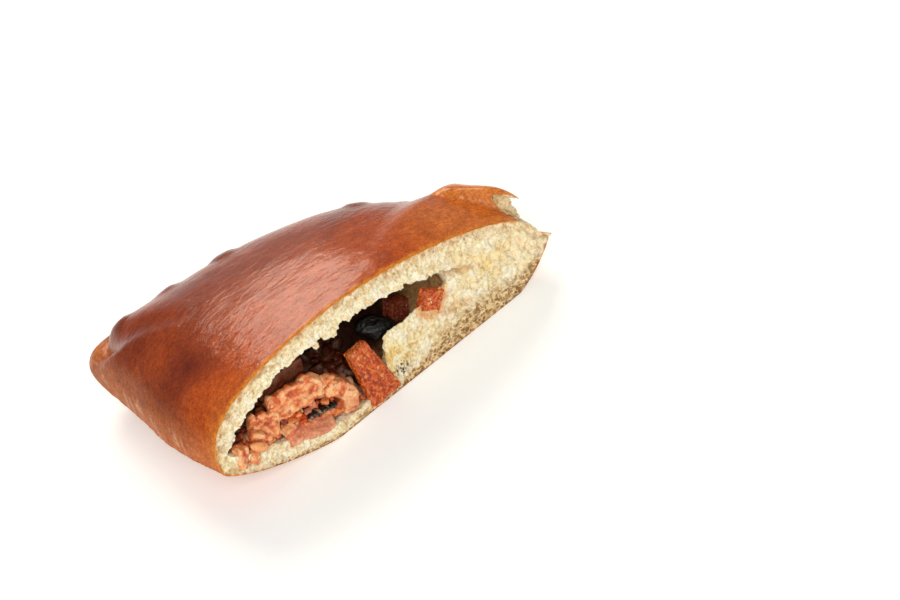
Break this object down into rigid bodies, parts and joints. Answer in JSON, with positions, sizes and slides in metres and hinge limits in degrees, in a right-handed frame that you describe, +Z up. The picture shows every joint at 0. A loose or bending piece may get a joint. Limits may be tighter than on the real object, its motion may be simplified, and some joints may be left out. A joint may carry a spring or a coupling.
{
  "type": "calzone",
  "caption": "Half of a baked calzone, cut open to show its pocket of chopped ham, sausage, olive and mushroom; food, lying on its flat base.",
  "frame": {"origin": "centre of the box round the whole, on the surface that the flat base rests on", "axes": "+X runs along the cut from the folded side to the crimped rim, -Y is the way the cut face looks, +Z is up out of the flat base"},
  "size_m": [0.1328, 0.0816, 0.045],
  "materials": {
    "crust": "glossy, egg-washed",
    "crumb": "porous, matte",
    "filling": "moist",
    "ham": "moist",
    "sausage": "oily",
    "olive": "oily",
    "mushroom": "moist"
  },
  "bodies": {
    "root": {"dough": "crust", "dough_lump": "crumb", "filling_heap": "filling", "ham_long": "ham", "ham_left": "ham", "ham_curl": "ham", "ham_arch": "ham", "ham_low": "ham", "ham_behind": "ham", "ham_corner": "ham", "ham_end": "ham", "ham_chip": "ham", "ham_bit": "ham", "ham_knot": "ham", "ham_lens": "ham", "mushroom_slice": "mushroom", "sausage_block": "sausage", "sausage_cube": "sausage", "sausage_behind": "sausage", "olive": "olive"}
  },
  "joints": []
}
